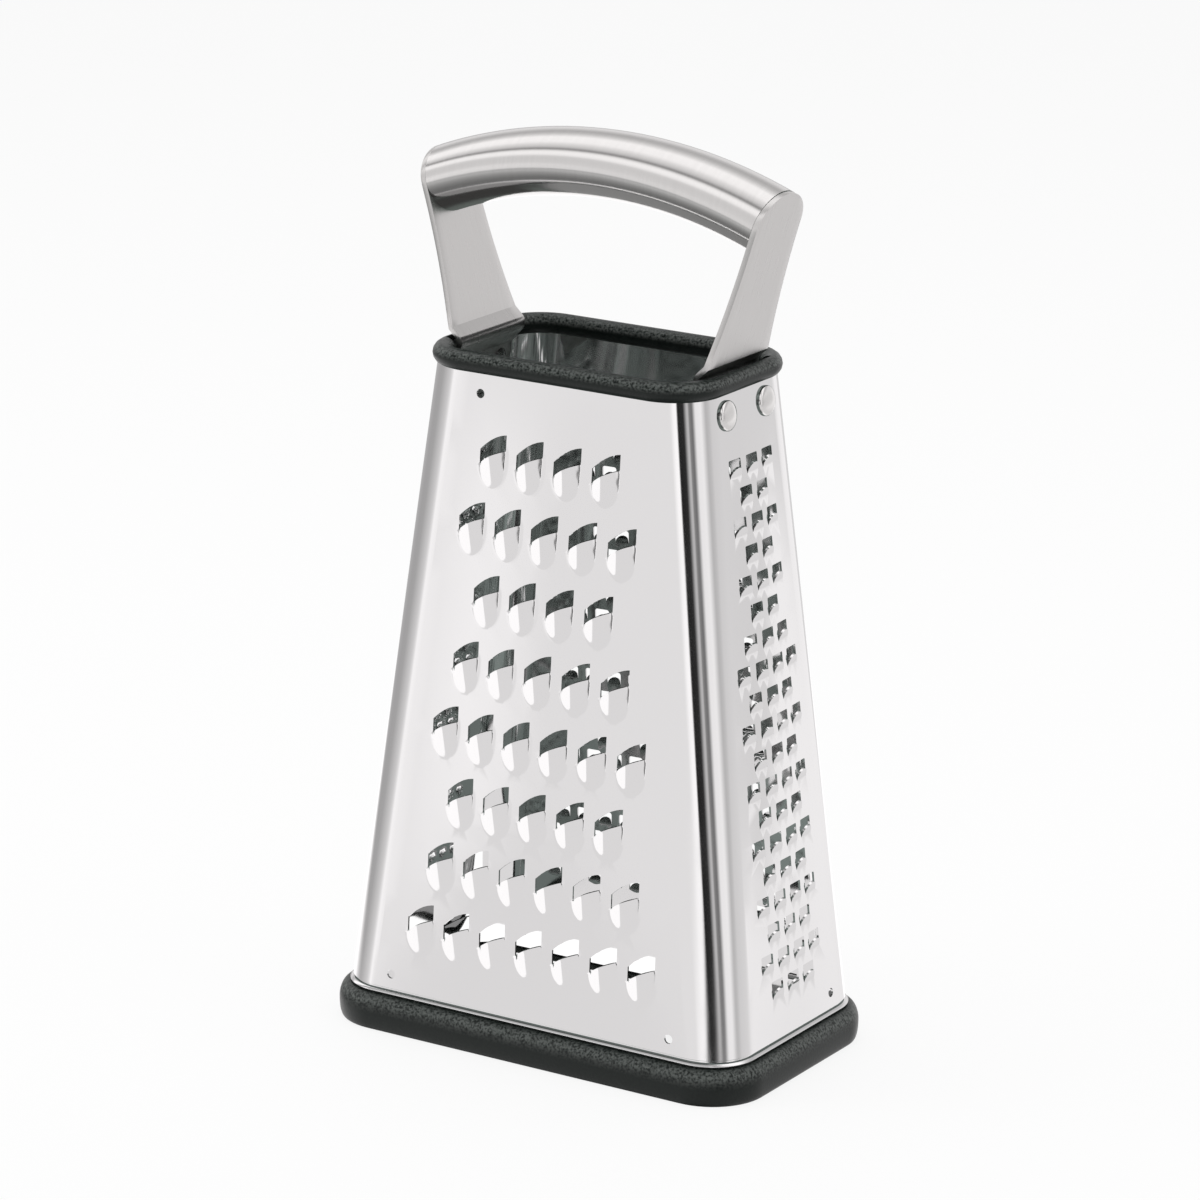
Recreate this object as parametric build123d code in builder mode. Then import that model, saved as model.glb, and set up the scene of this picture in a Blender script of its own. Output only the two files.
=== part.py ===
from build123d import *
import math
import os

os.makedirs("parts", exist_ok=True)

# Driving dimensions, in millimetres. The floor is height 0, X runs along the wide faces
# and Y along the narrow ones, and the front face looks towards -Y.
foot_height = 9.8
rim_height = 188.8
body_width_low = 126.4
body_depth_low = 72.6
body_width_high = 84.4
body_depth_high = 53.0
body_corner_radius = 13.0
sheet_thickness = 0.6
handle_apex_height = 240.9
cut_overrun = 1.0
seat_gap = 0.05

# Sheet: a rolled hem stands out just above the foot, and a skirt goes down into the foot
hem_height = 1.8
hem_reach = 0.7
skirt_depth = 5.0
sheet_rise = 1.2

# Dark moulded rim, a round bead over the sheet's top edge, open where the straps pass
rim_bead_radius = 2.9
rim_bead_sides = 16
rim_shift_inwards = 1.2
rim_strap_gap = 0.5

# Dark moulded foot ring
foot_bulge = 3.6
foot_top_reach = 0.7
foot_base_reach = 2.6
foot_inner_reach = 4.0

# Straps of the handle: a tab inside the wall, a step away from it, and a leaning arm
strap_thickness = 1.5
strap_tab_width = 31.0
strap_top_width = 23.2
strap_tab_drop = 19.0
strap_tab_corner = 4.0
strap_step_drop = 6.5
strap_bend_height = 191.5
strap_bend_radius = 9.0
strap_set_in = 1.25
strap_wall_gap = 0.25
strap_lean = 16.9
strap_shoulder_height = 194.0
strap_neck_drop = 2.4
strap_waist = 1.0
strap_cap_rise = 8.6

# Grip: an arched oval tube between the straps
grip_arch_radius = 139.0
grip_half_height = 9.1
grip_half_width = 11.6
grip_wall = 1.0
grip_half_span = 30.0
grip_bore_sides = 16

# Rivets, two through each side wall and strap tab
rivet_height = 181.0
rivet_spacing = 19.9
rivet_shank_radius = 2.0
rivet_head_radius = 4.1
rivet_head_rise = 1.6
rivet_head_bands = 3
rivet_tail_radius = 2.9
rivet_tail_rise = 0.9

# Pilot holes, left where the flat sheet was pinned for punching
pilot_radius = 1.25
pilot_low_height = 16.0
pilot_low_spacing = 89.0
pilot_side_shift = 19.3
pilot_high_height = 181.0
pilot_high_shift = 22.5

# Coarse teeth: a skewed window above a dome that rises towards its cutting lip
coarse_counts = (4, 5, 4, 5, 6, 5, 6, 7)
coarse_pitch = 11.75
coarse_row_pitch = 19.0
coarse_first_height = 164.5
coarse_window_width = 8.3
coarse_window_height = 4.0
coarse_lip_bow = 0.55
coarse_skew = 28.0
coarse_dome_radius = 5.2
coarse_hollow_sides = 16
coarse_dome_rise = 1.9
coarse_dome_tilt = 13.7

# Medium teeth: an upright window with a rounded tongue bent outwards from its lower edge
medium_counts = (3, 2, 3, 2, 3, 2, 3, 4, 3, 4, 3, 4, 3, 4, 3, 4, 3, 4, 3)
medium_pitch = 8.2
medium_row_pitch = 7.9
medium_first_height = 164.2
medium_window_width = 5.6
medium_window_height = 4.9
medium_tongue_length = 2.7
medium_tongue_rise = 1.2
medium_tongue_sides = 4

# Small teeth on the back, the same kind in a closer pattern
small_rows = 12
small_first_count = 4
small_rows_per_column = 4
small_pitch = 10.0
small_row_pitch = 11.6
small_first_height = 164.6
small_window_width = 4.8
small_window_height = 4.4
small_tongue_length = 2.3
small_tongue_rise = 0.9
small_tongue_sides = 3

# Fine points on the left: square punched holes, each in a raised collar
fine_rows = 12
fine_first_count = 3
fine_rows_per_column = 6
fine_pitch = 9.0
fine_row_pitch = 11.6
fine_first_height = 163.0
fine_hole_radius = 1.4
fine_collar_radius = 2.6
fine_collar_rise = 0.8
fine_corner_count = 4

# Lean of the walls: how far each one comes inwards for each unit of height
wall_run = rim_height - foot_height
front_slope = (body_depth_low - body_depth_high) / 2 / wall_run
side_slope = (body_width_low - body_width_high) / 2 / wall_run


def width_at(height):
    return body_width_low - 2 * side_slope * (height - foot_height)


def depth_at(height):
    return body_depth_low - 2 * front_slope * (height - foot_height)


def front_wall(height, sign):
    """Plane on the outside of the front wall, or with sign -1 on the back wall"""
    origin = (0, -sign * depth_at(height) / 2, height)
    return Plane(origin=origin, x_dir=(sign, 0, 0), z_dir=(0, -sign, front_slope))


def side_wall(height, sign):
    """Plane on the outside of the right wall, or with sign -1 on the left wall"""
    origin = (sign * width_at(height) / 2, 0, height)
    return Plane(origin=origin, x_dir=(0, sign, 0), z_dir=(sign, 0, side_slope))


def leaning_block(low, high, grow):
    """Solid between two heights with flat leaning walls, each moved outwards by grow"""
    side_grow = grow * math.hypot(1, side_slope)
    front_grow = grow * math.hypot(1, front_slope)
    half_widths = [width_at(height) / 2 + side_grow for height in (low, high)]
    half_depths = [depth_at(height) / 2 + front_grow for height in (low, high)]
    with BuildPart() as block:
        for plane, halves, reach, mode in (
            (Plane.XZ, half_widths, body_depth_low, Mode.ADD),
            (Plane.YZ, half_depths, body_width_low, Mode.INTERSECT),
        ):
            with BuildSketch(plane):
                Polygon(
                    (-halves[0], low), (halves[0], low), (halves[1], high), (-halves[1], high), align=None
                )
            extrude(amount=reach, both=True, mode=mode)
        corners = block.edges().filter_by(Axis.X, reverse=True).filter_by(Axis.Y, reverse=True)
        fillet(corners, body_corner_radius + grow)
    return block.part


def sheet_slot(low, high):
    """The space that the sheet takes between two heights, with a gap on both faces"""
    outside = leaning_block(low, high, seat_gap)
    inside = leaning_block(low, high, -sheet_thickness - seat_gap)
    return outside - inside


def ring_path(height, grow):
    """Rounded rectangle round the body at one height, moved outwards by grow"""
    loop = RectangleRounded(
        width_at(height) + 2 * grow, depth_at(height) + 2 * grow, body_corner_radius + grow
    )
    return loop.moved(Location((0, 0, height))).wire()


def ring_start(path):
    """Upright plane across the path's first point, with X outwards"""
    along = path % 0
    return Plane(origin=path @ 0, x_dir=along.cross(Vector(0, 0, 1)), z_dir=-along)


def tooth_places(wall, counts, pitch, row_pitch):
    """Places on one wall, row by row downwards, each row centred"""
    places = []
    for row, count in enumerate(counts):
        for column in range(count):
            across = (column - (count - 1) / 2) * pitch
            places.append(wall.location * Location((across, -row * row_pitch, 0)))
    return places


def staggered_counts(rows, first_count, rows_per_column):
    """Row counts that alternate by one and grow downwards with the wall"""
    return [first_count + row // rows_per_column + row % 2 for row in range(rows)]


# One coarse tooth, flat on the XY plane, with its lip's middle at the origin
dome_rate = math.tan(math.radians(coarse_dome_tilt))
dome_length = coarse_dome_rise / dome_rate
lip_half = coarse_window_width / 2
lip_drop = lip_half * math.tan(math.radians(coarse_skew))
bow_across = coarse_lip_bow * math.sin(math.radians(coarse_skew))
bow_up = coarse_lip_bow * math.cos(math.radians(coarse_skew))
dome_axis_depth = coarse_dome_rise - coarse_dome_radius / math.cos(math.radians(coarse_dome_tilt))
dome_axis = Plane(origin=(0, 0, dome_axis_depth), x_dir=(1, 0, 0), z_dir=(0, 1, dome_rate))
dome_ceiling = coarse_dome_rise + coarse_window_height


def coarse_lip(lift):
    """Left end, middle and right end of the bowed lip line, moved up by lift"""
    return (-lip_half, lift - lip_drop), (-bow_across, lift + bow_up), (lip_half, lift + lip_drop)


def dome_slice(outline, bottom):
    """The part of a tilted bar that lies below the lip line and above bottom"""
    left, middle, right = coarse_lip(0)
    side = coarse_dome_radius
    tip = -dome_length - cut_overrun
    with BuildPart() as bar:
        with BuildSketch(dome_axis):
            add(outline)
        extrude(amount=dome_length + coarse_window_height, both=True)
        with BuildSketch(Plane.XY.offset(bottom)):
            with BuildLine():
                ThreePointArc(left, middle, right)
                Polyline(right, (side, right[1]), (side, tip), (-side, tip), (-side, left[1]), left)
            make_face()
        extrude(amount=dome_ceiling - bottom, mode=Mode.INTERSECT)
    return bar.part


hollow_outline = RegularPolygon(coarse_dome_radius - sheet_thickness, coarse_hollow_sides)
coarse_dome = dome_slice(Circle(coarse_dome_radius), -sheet_thickness / 2)
coarse_hollow = dome_slice(hollow_outline, -sheet_thickness - cut_overrun)

with BuildPart() as coarse_window:
    with BuildSketch(Plane.XY.offset(-sheet_thickness - cut_overrun)):
        with BuildLine():
            left, middle, right = coarse_lip(0)
            upper_left, _, upper_right = coarse_lip(coarse_window_height)
            ThreePointArc(left, middle, right)
            Polyline(right, upper_right, upper_left, left)
        make_face()
    extrude(amount=sheet_thickness + 2 * cut_overrun)


def tooth_window(width, height):
    """Upright window through the sheet, with its lower edge on the X axis"""
    with BuildPart() as window:
        with BuildSketch(Plane.XY.offset(-sheet_thickness - cut_overrun)):
            Rectangle(width, height, align=(Align.CENTER, Align.MIN))
        extrude(amount=sheet_thickness + 2 * cut_overrun)
    return window.part


def tooth_tongue(width, length, rise, sides):
    """Tongue bent outwards from a window's lower edge, as wide as the window at its root"""
    turns = [math.pi * side / sides for side in range(sides + 1)]
    outline = [(width / 2 * math.cos(turn), length * math.sin(turn)) for turn in turns]
    with BuildPart() as tongue:
        with BuildSketch(Plane.YZ):
            Polygon(
                (0, -sheet_thickness), (length, rise - sheet_thickness), (length, rise), (0, 0), align=None
            )
        extrude(amount=width / 2, both=True)
        with BuildSketch(Plane.XY.offset(-sheet_thickness)):
            Polygon(*outline, align=None)
        extrude(amount=sheet_thickness + rise, mode=Mode.INTERSECT)
    return tongue.part


medium_window = tooth_window(medium_window_width, medium_window_height)
medium_tongue = tooth_tongue(
    medium_window_width, medium_tongue_length, medium_tongue_rise, medium_tongue_sides
)
small_window = tooth_window(small_window_width, small_window_height)
small_tongue = tooth_tongue(small_window_width, small_tongue_length, small_tongue_rise, small_tongue_sides)

fine_collar_inset = (fine_collar_radius - fine_hole_radius) * math.cos(math.pi / fine_corner_count)
with BuildPart() as fine_collar:
    with BuildSketch(Plane.XY.offset(-sheet_thickness / 2)):
        RegularPolygon(fine_collar_radius, fine_corner_count)
    extrude(amount=sheet_thickness / 2)
    with BuildSketch():
        RegularPolygon(fine_collar_radius, fine_corner_count)
    extrude(amount=fine_collar_rise, taper=math.degrees(math.atan2(fine_collar_inset, fine_collar_rise)))

with BuildPart() as fine_hole:
    with BuildSketch(Plane.XY.offset(-sheet_thickness - cut_overrun)):
        RegularPolygon(fine_hole_radius, fine_corner_count)
    extrude(amount=sheet_thickness + fine_collar_rise + 2 * cut_overrun)

coarse_places = tooth_places(
    front_wall(coarse_first_height, 1), coarse_counts, coarse_pitch, coarse_row_pitch
)
medium_places = tooth_places(
    side_wall(medium_first_height, 1), medium_counts, medium_pitch, medium_row_pitch
)
small_counts = staggered_counts(small_rows, small_first_count, small_rows_per_column)
small_places = tooth_places(front_wall(small_first_height, -1), small_counts, small_pitch, small_row_pitch)
fine_counts = staggered_counts(fine_rows, fine_first_count, fine_rows_per_column)
fine_places = tooth_places(side_wall(fine_first_height, -1), fine_counts, fine_pitch, fine_row_pitch)

# Rivet axes and pilot holes stand square on the walls
rivet_places = {}
for side_name, sign in (("left", -1), ("right", 1)):
    for place_name, towards in (("front", -sign), ("rear", sign)):
        across = Location((towards * rivet_spacing / 2, 0, 0))
        rivet_places[side_name, place_name] = side_wall(rivet_height, sign).location * across

low_front = front_wall(pilot_low_height, 1).location
low_back = front_wall(pilot_low_height, -1).location
high_front = front_wall(pilot_high_height, 1).location
low_right = side_wall(pilot_low_height, 1).location
pilot_places = [
    low_front * Location((-pilot_low_spacing / 2, 0, 0)),
    low_front * Location((pilot_low_spacing / 2, 0, 0)),
    low_back * Location((pilot_low_spacing / 2, 0, 0)),
    high_front * Location((-pilot_high_shift, 0, 0)),
    low_right * Location((pilot_side_shift, 0, 0)),
]
rivet_hole_radius = rivet_shank_radius + seat_gap
hole_depth = 2 * (sheet_thickness + strap_thickness) + 2 * cut_overrun

# Body sheet: a leaning shell with its hem, the four sets of teeth and the small holes
sheet_low = foot_height - skirt_depth
sheet_high = rim_height + sheet_rise
hem_path = ring_path(foot_height, 0)
outer_block = leaning_block(sheet_low, sheet_high, 0)
inner_block = leaning_block(sheet_low, sheet_high, -sheet_thickness)
coarse_cut = coarse_hollow + coarse_window.part
with BuildPart() as body_sheet:
    add(outer_block)
    with BuildSketch(ring_start(hem_path)):
        Polygon(
            (-sheet_thickness / 2, 0),
            (hem_reach, hem_height / 4),
            (hem_reach, hem_height * 3 / 4),
            (-sheet_thickness / 2, hem_height),
            align=None,
        )
    sweep(path=hem_path)
    add(inner_block, mode=Mode.SUBTRACT)
    with Locations(*coarse_places):
        add(coarse_dome)
    with Locations(*medium_places):
        add(medium_window, mode=Mode.SUBTRACT)
    with Locations(*medium_places):
        add(medium_tongue)
    with Locations(*small_places):
        add(small_window, mode=Mode.SUBTRACT)
    with Locations(*small_places):
        add(small_tongue)
    with Locations(*fine_places):
        add(fine_collar.part)
    with Locations(*coarse_places):
        add(coarse_cut, mode=Mode.SUBTRACT)
    with Locations(*fine_places):
        add(fine_hole.part, mode=Mode.SUBTRACT)
    with Locations(*pilot_places):
        Cylinder(pilot_radius, hole_depth, mode=Mode.SUBTRACT)
    with Locations(*rivet_places.values()):
        Cylinder(rivet_hole_radius, hole_depth, mode=Mode.SUBTRACT)
body_sheet.part.label = "body_sheet"
export_step(body_sheet.part, "parts/body_sheet.step")

# Top rim: a round bead with a slot for the sheet, cut away inside the walls for the straps
rim_path = ring_path(rim_height, -rim_shift_inwards)
rim_low = rim_height - rim_bead_radius
rim_notch_width = strap_tab_width + 2 * rim_strap_gap
rim_slot = sheet_slot(rim_low - cut_overrun, sheet_high + seat_gap)
rim_notch_low = rim_low - cut_overrun
rim_notch_high = rim_height + rim_bead_radius + cut_overrun
rim_notch = leaning_block(rim_notch_low, rim_notch_high, -sheet_thickness) & Box(
    body_width_low, rim_notch_width, 2 * rim_notch_high
)
with BuildPart() as top_rim:
    with BuildSketch(ring_start(rim_path)):
        RegularPolygon(rim_bead_radius, rim_bead_sides)
    sweep(path=rim_path)
    add(rim_slot, mode=Mode.SUBTRACT)
    add(rim_notch, mode=Mode.SUBTRACT)
top_rim.part.label = "top_rim"
export_step(top_rim.part, "parts/top_rim.step")

# Foot ring: a bulged moulding with a slot that holds the sheet's skirt
foot_path = ring_path(foot_height, 0).moved(Location((0, 0, -foot_height)))
foot_slot = sheet_slot(sheet_low - seat_gap, foot_height + cut_overrun)
with BuildPart() as foot_ring:
    with BuildSketch(ring_start(foot_path)):
        with BuildLine():
            base = (foot_base_reach, 0)
            top = (foot_top_reach, foot_height)
            ThreePointArc(base, (foot_bulge, foot_height / 2), top)
            Polyline(top, (-foot_inner_reach, foot_height), (-foot_inner_reach, 0), base)
        make_face()
    sweep(path=foot_path)
    add(foot_slot, mode=Mode.SUBTRACT)
foot_ring.part.label = "foot_ring"
export_step(foot_ring.part, "parts/foot_ring.step")


def inner_wall_point(height):
    """Point on the right wall's inner face, clear of it by the wall gap, in the upright XZ plane"""
    return (width_at(height) / 2 - (sheet_thickness + strap_wall_gap) * math.hypot(1, side_slope), height)


def arm_meets_arch():
    """Height at which the inner face of a strap's arm crosses the middle of the grip's arch"""
    lean = math.radians(strap_lean)
    arch_drop = strap_bend_height - (handle_apex_height - grip_arch_radius)
    inner_start = strap_corner[0] - strap_thickness / math.cos(lean)
    along = inner_start * math.sin(lean) + arch_drop * math.cos(lean)
    reach = grip_arch_radius**2 - inner_start**2 - arch_drop**2
    return strap_bend_height + (math.sqrt(along**2 + reach) - along) * math.cos(lean)


# Points of the strap's outer face, from the tab's end to the arm's end
strap_low = strap_bend_height - strap_tab_drop
strap_step = inner_wall_point(strap_bend_height - strap_step_drop)
strap_corner = (inner_wall_point(strap_bend_height)[0] - strap_set_in, strap_bend_height)
strap_cap_height = arm_meets_arch()
strap_neck_height = strap_cap_height - strap_neck_drop
strap_top = strap_cap_height + strap_cap_rise
arm_reach = (strap_top - strap_bend_height + cut_overrun) * math.tan(math.radians(strap_lean))
strap_end = (strap_corner[0] + arm_reach, strap_top + cut_overrun)


def strap_face(sign, depth):
    """Plane along a strap's arm, at a depth inside its outer face, looking outwards"""
    lean = math.radians(strap_lean)
    outwards = (sign * math.cos(lean), 0, -math.sin(lean))
    origin = (sign * strap_corner[0], 0, strap_corner[1])
    return Plane(origin=origin, x_dir=(0, 1, 0), z_dir=outwards).offset(-depth)


with BuildPart() as right_strap:
    with BuildSketch(Plane.XZ):
        with BuildLine():
            FilletPolyline(
                inner_wall_point(strap_low - cut_overrun),
                strap_step,
                strap_corner,
                strap_end,
                radius=strap_bend_radius,
            )
            offset(amount=strap_thickness, side=Side.LEFT)
        make_face()
    extrude(amount=strap_tab_width / 2, both=True)
    with BuildSketch(Plane.YZ):
        with BuildLine():
            tab_side = strap_tab_width / 2
            neck_side = strap_top_width / 2
            middle_side = (tab_side + neck_side) / 2 - strap_waist
            middle_height = (strap_shoulder_height + strap_neck_height) / 2
            Polyline((0, strap_low), (tab_side, strap_low), (tab_side, strap_shoulder_height))
            ThreePointArc(
                (tab_side, strap_shoulder_height),
                (middle_side, middle_height),
                (neck_side, strap_neck_height),
            )
            Line((neck_side, strap_neck_height), (neck_side, strap_cap_height))
            EllipticalCenterArc((0, strap_cap_height), neck_side, strap_cap_rise, arc_size=90)
            mirror(about=Plane.YZ)
        strap_outline = make_face()
        tab_corners = strap_outline.vertices().group_by(Axis.Y)[0].sort_by(Axis.X)
        fillet([tab_corners[0], tab_corners[-1]], strap_tab_corner)
    extrude(amount=body_width_low, mode=Mode.INTERSECT)
    with Locations(rivet_places["right", "front"], rivet_places["right", "rear"]):
        Cylinder(rivet_hole_radius, hole_depth, mode=Mode.SUBTRACT)
right_strap.part.label = "right_strap"
export_step(right_strap.part, "parts/right_strap.step")

with BuildPart() as left_strap:
    mirror(right_strap.part, about=Plane.YZ)
left_strap.part.label = "left_strap"
export_step(left_strap.part, "parts/left_strap.step")

# Grip: an oval tube bent to an arch and cut to fit between the straps' arms
arch_centre = (0, 0, handle_apex_height - grip_arch_radius)
arch_turn = math.radians(grip_half_span)
arch_start = Plane(
    origin=arch_centre, x_dir=(0, 1, 0), z_dir=(math.cos(arch_turn), 0, math.sin(arch_turn))
)
bore_turns = [2 * math.pi * side / grip_bore_sides for side in range(grip_bore_sides)]
bore_corners = [
    ((grip_half_width - grip_wall) * math.cos(turn), (grip_half_height - grip_wall) * math.sin(turn))
    for turn in bore_turns
]
with BuildPart() as grip_tube:
    with BuildSketch(arch_start):
        with Locations((0, grip_arch_radius)):
            Ellipse(grip_half_width, grip_half_height)
            Polygon(*bore_corners, align=None, mode=Mode.SUBTRACT)
    revolve(axis=Axis(arch_centre, (0, 1, 0)), revolution_arc=2 * grip_half_span)
    for sign in (-1, 1):
        split(bisect_by=strap_face(sign, strap_thickness + seat_gap), keep=Keep.BOTTOM)
grip_tube.part.label = "grip_tube"
export_step(grip_tube.part, "parts/grip_tube.step")

# Rivets: a domed head outside, a shank through wall and tab, and a flattened tail inside
rivet_grip = sheet_thickness + strap_wall_gap + strap_thickness
rivet_end = -rivet_grip - rivet_tail_rise
head_turns = [math.pi / 2 * band / rivet_head_bands for band in range(rivet_head_bands)]
head_profile = [
    (rivet_head_radius * math.cos(turn), rivet_head_rise * math.sin(turn)) for turn in head_turns
]
flat_radius = head_profile[-1][0] / 2
with BuildPart() as rivet:
    with BuildSketch(Plane.XZ):
        Polygon(
            *head_profile,
            (flat_radius, rivet_head_rise),
            (0, rivet_head_rise),
            (0, rivet_end),
            (rivet_tail_radius, rivet_end),
            (rivet_tail_radius, -rivet_grip),
            (rivet_shank_radius, -rivet_grip),
            (rivet_shank_radius, 0),
            align=None,
        )
    revolve(axis=Axis.Z)

for (side_name, place_name), place in rivet_places.items():
    node_name = f"rivet_{side_name}_{place_name}"
    with BuildPart() as placed_rivet:
        with Locations(place):
            add(rivet.part)
    placed_rivet.part.label = node_name
    export_step(placed_rivet.part, f"parts/{node_name}.step")
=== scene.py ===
# %% [markdown]
# # A box grater, dressed for its photograph
# The measured model of the grater is loaded first. It is already right in size and place, so every
# piece made here takes its place from it. Blender works in metres and the grater is described in
# millimetres, so one value turns one into the other.

# %% Load the measured model
from functools import partial
from math import cos, hypot, pi, radians, sin, sqrt, tan

import bpy
from mathutils import Matrix, Vector
from mathutils.geometry import delaunay_2d_cdt
from mathutils.kdtree import KDTree


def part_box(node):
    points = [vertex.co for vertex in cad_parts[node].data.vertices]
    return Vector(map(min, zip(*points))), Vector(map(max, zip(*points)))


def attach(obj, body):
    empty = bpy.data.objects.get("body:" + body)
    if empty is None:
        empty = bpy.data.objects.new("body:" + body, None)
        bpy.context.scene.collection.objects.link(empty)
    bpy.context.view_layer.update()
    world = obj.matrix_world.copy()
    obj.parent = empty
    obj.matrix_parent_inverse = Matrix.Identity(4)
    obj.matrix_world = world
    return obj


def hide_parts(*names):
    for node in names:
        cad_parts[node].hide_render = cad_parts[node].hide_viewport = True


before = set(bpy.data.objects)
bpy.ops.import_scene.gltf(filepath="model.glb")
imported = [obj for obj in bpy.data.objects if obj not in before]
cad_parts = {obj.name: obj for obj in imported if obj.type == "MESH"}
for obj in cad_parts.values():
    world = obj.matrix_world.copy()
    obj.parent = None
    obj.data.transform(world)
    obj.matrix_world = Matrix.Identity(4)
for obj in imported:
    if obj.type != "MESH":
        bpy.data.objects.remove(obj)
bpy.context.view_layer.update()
MM = 0.001
print("nodes:", ", ".join(sorted(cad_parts)))


# %% [markdown]
# ## The camera
# The photograph was taken with a long lens, a little above the grater, looking at the corner between
# the coarse face and the medium face. A long lens keeps the upright edges nearly straight. The camera's
# place is worked out from its turn round the grater, its height angle and its distance, because those
# are the things a photographer sets.

# %% Camera
CAMERA_TURN = radians(31.92)
CAMERA_RISE = radians(16.21)
CAMERA_DISTANCE = 1450.7
CAMERA_TARGET_HEIGHT = 121.4
CAMERA_SIDE_STEP = -1.01
CAMERA_ROLL = radians(0.803)
SENSOR_WIDTH = 36.0
FOCAL_PIXELS = 5383.0
PHOTO_PIXELS = 1200.0

towards_camera = Vector(
    (
        sin(CAMERA_TURN) * cos(CAMERA_RISE),
        -cos(CAMERA_TURN) * cos(CAMERA_RISE),
        sin(CAMERA_RISE),
    )
)
camera_right = Vector((cos(CAMERA_TURN), sin(CAMERA_TURN), 0))
camera_up = towards_camera.cross(camera_right)
camera_place = (
    towards_camera * CAMERA_DISTANCE + camera_right * CAMERA_SIDE_STEP + Vector((0, 0, CAMERA_TARGET_HEIGHT))
) * MM

bpy.ops.object.camera_add()
camera = bpy.context.object
camera.name = "studio_camera"
turn = Matrix((camera_right, camera_up, towards_camera)).transposed().to_4x4()
camera.matrix_world = Matrix.Translation(camera_place) @ turn @ Matrix.Rotation(CAMERA_ROLL, 4, "Z")
camera.data.sensor_width = SENSOR_WIDTH
camera.data.lens = SENSOR_WIDTH * FOCAL_PIXELS / PHOTO_PIXELS
camera.data.clip_end = 20
bpy.context.scene.camera = camera
print("lens in mm:", round(camera.data.lens, 1))


# %% [markdown]
# ## Helpers for nodes
# A finish is a small network of nodes. A few helpers keep the network readable. The first adds a node
# and sets its inputs by name. Another makes a node group, which is an effect with named inputs and
# outputs that several finishes can share.

# %% Node helpers
def add_node(tree, kind, settings=None, **values):
    """A shader node of that kind, with its settings and its input values or links"""
    node = tree.nodes.new("ShaderNode" + kind)
    for name, value in (settings or {}).items():
        setattr(node, name, value)
    for name, value in values.items():
        socket = node.inputs[int(name[1:]) if name[1:].isdigit() else name.replace("_", " ")]
        if isinstance(value, bpy.types.NodeSocket):
            tree.links.new(value, socket)
        else:
            socket.default_value = value
    return node


def join(tree, target, **outputs):
    """Links outputs of nodes to a target's inputs by name"""
    for name, output in outputs.items():
        tree.links.new(output, target.inputs[name.replace("_", " ")])


def map_range(tree, value, low, high, start=0.0, end=1.0):
    """A value that goes from start to end as another goes from low to high"""
    limits = {"From_Min": low, "From_Max": high, "To_Min": start, "To_Max": end}
    return add_node(tree, "MapRange", Value=value, **limits).outputs["Result"]


def calculate(tree, operation, *values):
    """A Math node's result"""
    numbered = {f"_{number}": value for number, value in enumerate(values)}
    return add_node(tree, "Math", {"operation": operation}, **numbered).outputs[0]


def mix_values(tree, share, first, second):
    """One value where share is 0 and another where it is 1"""
    return add_node(tree, "Mix", _0=share, _2=first, _3=second).outputs[0]


def mix_colors(tree, share, first, second):
    """One colour where share is 0 and another where it is 1"""
    return add_node(tree, "Mix", {"data_type": "RGBA"}, _0=share, _6=first, _7=second).outputs[2]


def new_group(name, inputs, outputs):
    """An empty node group with named sockets, its input node and its output node"""
    tree = bpy.data.node_groups.new(name, "ShaderNodeTree")
    for label, kind, value in inputs:
        tree.interface.new_socket(label, in_out="INPUT", socket_type=kind).default_value = value
    for label, kind in outputs:
        tree.interface.new_socket(label, in_out="OUTPUT", socket_type=kind)
    return tree, tree.nodes.new("NodeGroupInput"), tree.nodes.new("NodeGroupOutput")


def new_material(name, metallic, roughness, color):
    """A material whose Principled shader carries the values that are the same all over"""
    material = bpy.data.materials.new(name)
    material.use_nodes = True
    shader = material.node_tree.nodes["Principled BSDF"]
    shader.inputs["Metallic"].default_value = metallic
    shader.inputs["Roughness"].default_value = roughness
    shader.inputs["Base Color"].default_value = (*color, 1)
    return material, material.node_tree, shader


# %% [markdown]
# ## Shared effects
# Fine wear is the faint unevenness of a polished sheet that has been handled. Brushed grain is a set
# of fine scratches that all run one way, made by stretching a noise. Speckle is the rough, faintly
# spotted skin of the dark moulded plastic.

# %% Fine wear
wear_tree, wear_in, wear_out = new_group(
    "fine_wear",
    [("Low", "NodeSocketFloat", 0.05), ("High", "NodeSocketFloat", 0.1), ("Scale", "NodeSocketFloat", 30.0)],
    [("Roughness", "NodeSocketFloat"), ("Height", "NodeSocketFloat")],
)
wear_place = add_node(wear_tree, "TexCoord").outputs["Object"]
wear_cloud = add_node(
    wear_tree, "TexNoise", Vector=wear_place, Scale=wear_in.outputs["Scale"], Detail=4.0
).outputs["Fac"]
wear_rough = map_range(wear_tree, wear_cloud, 0.35, 0.65, wear_in.outputs["Low"], wear_in.outputs["High"])
join(wear_tree, wear_out, Roughness=wear_rough, Height=wear_cloud)

# %% Brushed grain
grain_tree, grain_in, grain_out = new_group(
    "brushed_grain",
    [("Stretch", "NodeSocketVector", (4000.0, 60.0, 60.0))],
    [("Grain", "NodeSocketFloat")],
)
grain_place = add_node(grain_tree, "TexCoord").outputs["Object"]
grain_stretch = add_node(
    grain_tree, "VectorMath", {"operation": "MULTIPLY"}, _0=grain_place, _1=grain_in.outputs["Stretch"]
).outputs["Vector"]
grain_noise = add_node(
    grain_tree, "TexNoise", Vector=grain_stretch, Scale=1.0, Detail=3.0, Roughness=0.6
)
join(grain_tree, grain_out, Grain=grain_noise.outputs["Fac"])

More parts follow.
